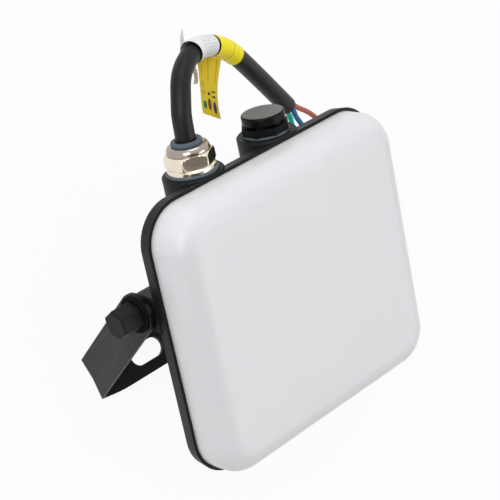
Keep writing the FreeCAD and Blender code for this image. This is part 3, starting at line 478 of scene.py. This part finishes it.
def cord_curve(name, points, radius, material):
    """Free cord: NURBS curve of order 3 with the route's points as its control points."""
    curve = bpy.data.curves.new(name, "CURVE")
    curve.dimensions = "3D"
    spline = curve.splines.new("NURBS")
    spline.points.add(len(points) - 1)
    spline.points.foreach_set("co", np.c_[points, np.ones(len(points))].ravel())
    spline.order_u = 3
    spline.use_endpoint_u = True
    curve.resolution_u = 14
    curve.bevel_depth = radius
    curve.bevel_resolution = 10
    curve.use_fill_caps = True
    curve.materials.append(material)
    cord = bpy.data.objects.new(name, curve)
    bpy.context.scene.collection.objects.link(cord)
    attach(cord, HEAD)
    return cord


def centreline(cord):
    """Points along a cord's own line, from a copy of its curve with no thickness."""
    bare = cord.data.copy()
    bare.bevel_depth = 0
    probe = bpy.data.objects.new("probe", bare)
    bpy.context.scene.collection.objects.link(probe)
    line = bpy.data.meshes.new_from_object(probe)
    points = np.empty(len(line.vertices) * 3)
    line.vertices.foreach_get("co", points)
    bpy.data.objects.remove(probe)
    return points.reshape(-1, 3)


def along(line, shares):
    """Points and unit tangents at shares of a line's length, by interpolation of its arc length."""
    steps = np.linalg.norm(np.diff(line, axis=0), axis=1)
    gone = np.r_[0, np.cumsum(steps)]
    gone /= gone[-1]
    points = np.stack([np.interp(shares, gone, line[:, k]) for k in range(3)], -1)
    tangents = np.gradient(points, axis=0)
    return points, tangents / np.linalg.norm(tangents, axis=1)[:, None]


def paint_fields(mesh, across, down, fields):
    """Colours a mesh by its two parameters: a field covers |(u-a)/w|^n + |(v-b)/h|^n < 1, edge soft."""
    colour = np.zeros((len(mesh.vertices), 4))
    u, v = (np.resize(np.ravel(values), len(colour)) for values in (across, down))
    for a, b, width, height, power, tint, strength in fields:
        reach = np.abs((u - a) / width) ** power + np.abs((v - b) / height) ** power
        cover = np.clip((1.2 - reach) / 0.4, 0, 1) * strength
        colour[:, :3] = np.where(cover[:, None] > 0, tint, colour[:, :3])
        colour[:, 3] = np.maximum(colour[:, 3] * (1 - cover), cover)
    layer = mesh.color_attributes.new("print_and_shade", "FLOAT_COLOR", "POINT")
    layer.data.foreach_set("color", colour.ravel())


def sleeve(name, line, span, bore, wall, fields, flare=0.0):
    """Label wrapped round the cable: circles square to its line, swept along it at the bore plus the
    wall and back at the bore. Towards its first end the bore, and the offset from the line, grow by
    the flare times (1 - t) squared."""
    centre, tangent = along(line, np.linspace(*span, LABEL_RINGS))
    share = np.linspace(0, 1, LABEL_RINGS)
    ease = ((1 - share) ** 2)[:, None] * flare * MM
    lift = np.array(LABEL_LIFT) - tangent * (tangent @ LABEL_LIFT)[:, None]
    centre = centre + ease * lift
    first = np.cross(tangent, (0.0, 1.0, 0.0))
    first /= np.linalg.norm(first, axis=1)[:, None]
    second = np.cross(tangent, first)
    angle = np.linspace(0, 2 * math.pi, LABEL_SPOKES, endpoint=False)
    spokes = (first[:, None] * np.cos(angle)[None, :, None] + second[:, None] * np.sin(angle)[None, :, None])
    outer = centre[:, None] + spokes * ((bore + wall) * MM + ease[:, None])
    inner = centre[:, None] + spokes * (bore * MM + ease[:, None])
    mesh = skin(name, np.concatenate([outer, inner[::-1]]), capped=False)
    down, across = np.meshgrid(np.r_[share, share[::-1]], angle / (2 * math.pi), indexing="ij")
    paint_fields(mesh, across, down, fields)
    return mesh


def strip(name, rows, wall, fields, columns=60, count=120):
    """Free end of a label: a cubic through the rows' edge points, straight across, one wall thick."""
    corners = np.array(rows)
    place = np.linspace(0, len(rows) - 1, count)
    knots = np.arange(len(rows))
    edges = []
    for side in (0, 1):
        fits = [np.polyfit(knots, corners[:, side, k], min(3, len(rows) - 1)) for k in range(3)]
        edges.append(np.stack([np.polyval(fit, place) for fit in fits], -1))
    left, right = edges
    across = np.linspace(0, 1, columns)[None, :, None]
    face = left[:, None] * (1 - across) + right[:, None] * across
    down = np.gradient((left + right) / 2, axis=0)
    normal = np.cross(down, right - left)
    normal *= (wall / 2 / np.linalg.norm(normal, axis=1))[:, None]
    front = face + normal[:, None]
    back = face - normal[:, None]
    rings = np.concatenate([front, back[:, ::-1]], axis=1)
    mesh = skin(name, in_row(rings))
    share = np.linspace(0, 1, columns)
    down, side = np.meshgrid(np.linspace(0, 1, count), np.r_[share, share[::-1]], indexing="ij")
    paint_fields(mesh, side, down, fields)
    return mesh


# Fields on the labels: middle across and down, half width and height, power, colour, strength
INK = (0.02, 0.018, 0.012)
FAINT = (0.30, 0.30, 0.31)
DUN = (0.20, 0.14, 0.02)
MUSTARD = (0.66, 0.49, 0.02)
OLIVE = (0.22, 0.15, 0.02)
white_bars = [(turn + 0.013 * math.sin(60 * stand), stand, 0.010 + 0.004 * math.sin(47 * turn), 0.026, 4,
               FAINT, 0.42 + 0.2 * math.sin(31 * turn + 9 * stand))
              for stand in (0.30, 0.40, 0.53, 0.64, 0.78, 0.88) for turn in np.arange(0.02, 1.0, 0.045)]
# Painted shade and painted highlight: a dark band beside a bright band round the yellow sleeve, standing in
# for the shading of its overlap seam
yellow_seam_painted_light = [(0.5, 0.60, 0.6, 0.03, 4, (0.55, 0.40, 0.008), 0.75),
               (0.5, 0.645, 0.6, 0.028, 4, (1.0, 0.93, 0.05), 1.0)]
tag_fields = [(column, stand, 0.035, 0.009, 4, OLIVE, 0.8)
              for column, last in ((0.12, 0.34), (0.45, 0.36), (0.84, 0.40))
              for stand in np.arange(0.04, last, 0.035)]
for column, stand in ((0.13, 0.45), (0.16, 0.58)):
    tag_fields += [(column, stand, 0.085, 0.045, 2, DUN, 0.9), (column, stand, 0.05, 0.032, 2, MUSTARD, 1.0)]
tag_fields += [
    (0.47, 0.60, 0.075, 0.028, 6, INK, 1.0), (0.74, 0.56, 0.10, 0.018, 6, INK, 1.0),
    (0.76, 0.65, 0.10, 0.018, 6, INK, 1.0), (0.19, 0.81, 0.10, 0.07, 3, (0.0, 0.16, 0.04), 1.0),
    (0.47, 0.79, 0.10, 0.105, 2, (0.16, 0.035, 0.01), 1.0),
    (0.77, 0.84, 0.10, 0.105, 2, (0.02, 0.02, 0.10), 1.0),
]
flag_fields = [(0.5, stand, 0.42, 0.012, 6, FAINT, 0.6) for stand in np.arange(0.30, 0.95, 0.045)]

cable_route = in_row(CABLE_ROUTE)
cable = cord_curve("cable_run", cable_route, CABLE_RADIUS * MM, jacket)
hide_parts("cable")
cable_line = centreline(cable)
end_point = np.array(CABLE_ROUTE[-1])
end_way = end_point - CABLE_ROUTE[-2]
end_way /= np.linalg.norm(end_way)
side_way = np.cross(end_way, (0, 1, 0))
side_way /= np.linalg.norm(side_way)
lift_way = np.cross(side_way, end_way)
for name, material in (("core_brown", brown_core), ("core_blue", blue_core), ("core_green", green_core)):
    across, up = CORE_SEATS[name]
    seat = end_point + side_way * across + lift_way * up
    route = in_row(np.array([seat, seat + end_way * CORE_EXIT] + CORE_ROUTES[name]))
    core = cord_curve(name + "_run", route, CORE_RADIUS * MM, material)
    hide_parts(name)
    core_line = centreline(core)

white_wrap = sleeve("white_sleeve", cable_line, WHITE_SPAN, LABEL_BORE, LABEL_WALL, white_bars, LABEL_FLARE)
yellow_wrap = sleeve("yellow_sleeve", cable_line, YELLOW_SPAN, LABEL_BORE, LABEL_WALL, yellow_seam_painted_light)
white_sleeve = place_piece("white_sleeve", white_wrap, white_film, HEAD, ("white_label",))
yellow_sleeve = place_piece("yellow_sleeve", yellow_wrap, yellow_film, HEAD, ("yellow_label",))
yellow_end = strip("yellow_flag", YELLOW_TAG, TAG_WALL, tag_fields)
white_end = strip("white_flag", WHITE_TAG, TAG_WALL, flag_fields)
yellow_flag = place_piece("yellow_flag", yellow_end, tag_film_painted_shade, HEAD, ("yellow_tag",))
white_flag = place_piece("white_flag", white_end, white_film, HEAD, ("white_tag",))

place_piece("opal_pillow", opal_front(), opal, HEAD, ("diffuser",), sharp=50.0)
cap_nut = place_piece("cap_nut", gland_nut(), nickel, HEAD, ("gland_nut",), sharp=28.0)
upward = turned_back((0, 0, 1))
rise = (face_vectors(cap_nut, "center") - in_row((GLAND_X, BOSS_Y, GLAND_BASE))) @ upward
# Painted shade: the nut's faces above DOME_FROM get the darker copy of the nickel
finish_faces(cap_nut, nickel_dome_painted_shade, rise > DOME_FROM * MM)
place_piece("bush_lip", gland_bush(), seal_rubber, HEAD, ("gland_bush",))
place_piece("gland_seal", gland_seal(), seal_rubber, HEAD, ("gland_washer",))
vent_lid = place_piece("vent_lid", vent_cap(), vent_gloss, HEAD, ("vent_cap",))
# Painted light: the cap's upward faces get the grey copy of its black
finish_faces(vent_lid, lid_top_painted_light, face_vectors(vent_lid, "normal") @ upward > 0.97)
merged_copy("housing", cast_paint, bevel=0.25)
merged_copy("rear_cover", cast_paint, bevel=0.2)
strap = merged_copy("bracket", strap_paint, bevel=0.3)
# Painted shade: the strap's edge faces, picked by their direction, get the darker copy of its paint
facing = np.abs(face_vectors(strap, "normal"))
finish_faces(strap, strap_edge_painted_shade, (facing[:, 0] < 0.3) & (facing[:, 1] > 0.25))
merged_copy("gland_body", nickel)
merged_copy("vent_washer", seal_rubber, bevel=0.3)
merged_copy("vent_body", vent_matt, bevel=0.15)
for side in ("left", "right"):
    merged_copy("pivot_cap_" + side, cap_paint, bevel=0.3)
    merged_copy("side_washer_" + side, black_rubber, bevel=0.2)


def sees_white(tree):
    """Share of a ray that meets plain white: 1 for camera, glossy and transmission rays, else 0."""
    path = tree.nodes.new("ShaderNodeLightPath")
    share = path.outputs["Is Camera Ray"]
    for kind in ("Is Glossy Ray", "Is Transmission Ray"):
        either = tree.nodes.new("ShaderNodeMath")
        either.operation = "MAXIMUM"
        tree.links.new(share, either.inputs[0])
        tree.links.new(path.outputs[kind], either.inputs[1])
        share = either.outputs[0]
    return share


def white_ground():
    """Floor that the camera and mirrors see as white, a little darker where the object shades it."""
    material = bpy.data.materials.new("white_ground")
    material.use_nodes = True
    tree = material.node_tree
    shader = tree.nodes["Principled BSDF"]
    shader.inputs["Base Color"].default_value = (0.82, 0.82, 0.82, 1.0)
    shader.inputs["Roughness"].default_value = 0.9
    glow = tree.nodes.new("ShaderNodeEmission")
    plain = tree.nodes.new("ShaderNodeMath")
    plain.operation = "MULTIPLY"
    plain.inputs[1].default_value = FLOOR_WHITE
    mix = tree.nodes.new("ShaderNodeMixShader")
    tree.links.new(sees_white(tree), plain.inputs[0])
    tree.links.new(plain.outputs[0], mix.inputs[0])
    tree.links.new(shader.outputs[0], mix.inputs[1])
    tree.links.new(glow.outputs[0], mix.inputs[2])
    tree.links.new(mix.outputs[0], tree.nodes["Material Output"].inputs["Surface"])
    return material


def flat_card(name, corners, material):
    """Flat four-cornered sheet that belongs to the studio and not to the lamp."""
    mesh = bpy.data.meshes.new(name)
    mesh.from_pydata(corners, [], [(0, 1, 2, 3)])
    mesh.materials.append(material)
    card = bpy.data.objects.new(name, mesh)
    bpy.context.scene.collection.objects.link(card)
    return card


def studio_world():
    """World that is white to the rays of sees_white, and to all others a sky, brightest towards
    BRIGHT_SIDE."""
    world = bpy.data.worlds.new("studio")
    world.use_nodes = True
    tree = world.node_tree
    sky = tree.nodes["Background"]
    sky.inputs["Color"].default_value = (0.96, 0.97, 1.0, 1.0)
    white = tree.nodes.new("ShaderNodeBackground")
    white.inputs["Color"].default_value = (1.0, 1.0, 1.0, 1.0)
    white.inputs["Strength"].default_value = 1.0
    compass = tree.nodes.new("ShaderNodeTexCoord")
    turned = tree.nodes.new("ShaderNodeVectorMath")
    turned.operation = "DOT_PRODUCT"
    turned.inputs[1].default_value = BRIGHT_SIDE
    shade = tree.nodes.new("ShaderNodeMapRange")
    shade.interpolation_type = "SMOOTHSTEP"
    shade.inputs["From Min"].default_value = -SKY_TURN
    shade.inputs["From Max"].default_value = SKY_TURN
    shade.inputs["To Min"].default_value = SKY_DIM
    shade.inputs["To Max"].default_value = SKY_BRIGHT
    choice = tree.nodes.new("ShaderNodeMixShader")
    tree.links.new(compass.outputs["Generated"], turned.inputs[0])
    tree.links.new(turned.outputs["Value"], shade.inputs["Value"])
    tree.links.new(shade.outputs["Result"], sky.inputs["Strength"])
    tree.links.new(sees_white(tree), choice.inputs[0])
    tree.links.new(sky.outputs[0], choice.inputs[1])
    tree.links.new(white.outputs[0], choice.inputs[2])
    tree.links.new(choice.outputs[0], tree.nodes["World Output"].inputs["Surface"])
    return world


def soft_light(name, place, size, watts):
    """Square area lamp at a place, turned to shine at LAMP_AIM."""
    lamp = bpy.data.lights.new(name, "AREA")
    lamp.size = size
    lamp.energy = watts
    holder = bpy.data.objects.new(name, lamp)
    away = np.array(place) - np.array(LAMP_AIM)
    away /= np.linalg.norm(away)
    right = np.cross((0.0, 0.0, 1.0), away)
    right /= np.linalg.norm(right)
    turn = Matrix(np.stack([right, np.cross(away, right), away], -1).tolist())
    holder.matrix_world = Matrix.Translation(place) @ turn.to_4x4()
    bpy.context.scene.collection.objects.link(holder)


floor_corners = [(x * FLOOR_REACH, y * FLOOR_REACH, 0) for x, y in ((-1, -1), (1, -1), (1, 1), (-1, 1))]
floor = flat_card("floor", floor_corners, white_ground())
floor.location.z = -FLOOR_DROP
card_paint = finish("card_paint", (0.22, 0.21, 0.20), roughness=0.8, specular=0.1)
dark_card = flat_card("dark_card", CARD, card_paint)
dark_card.visible_camera = False
dark_card.visible_diffuse = False
dark_card.visible_shadow = False
bpy.context.scene.world = studio_world()
for lamp_name, (lamp_place, lamp_size, lamp_watts) in LAMPS.items():
    soft_light(lamp_name, lamp_place, lamp_size, lamp_watts)

camera_data = bpy.data.cameras.new("view")
camera_data.lens = CAMERA_LENS
camera_data.sensor_width = 36.0
camera_data.clip_start = 0.05
camera = bpy.data.objects.new("view", camera_data)
turn = np.stack([turned_back(CAMERA_RIGHT), -turned_back(CAMERA_DOWN), -turned_back(CAMERA_AHEAD)], -1)
camera.matrix_world = Matrix.Translation(in_row(CAMERA_PLACE).tolist()) @ Matrix(turn.tolist()).to_4x4()
bpy.context.scene.collection.objects.link(camera)
bpy.context.scene.camera = camera
bpy.context.scene.view_settings.view_transform = "Standard"
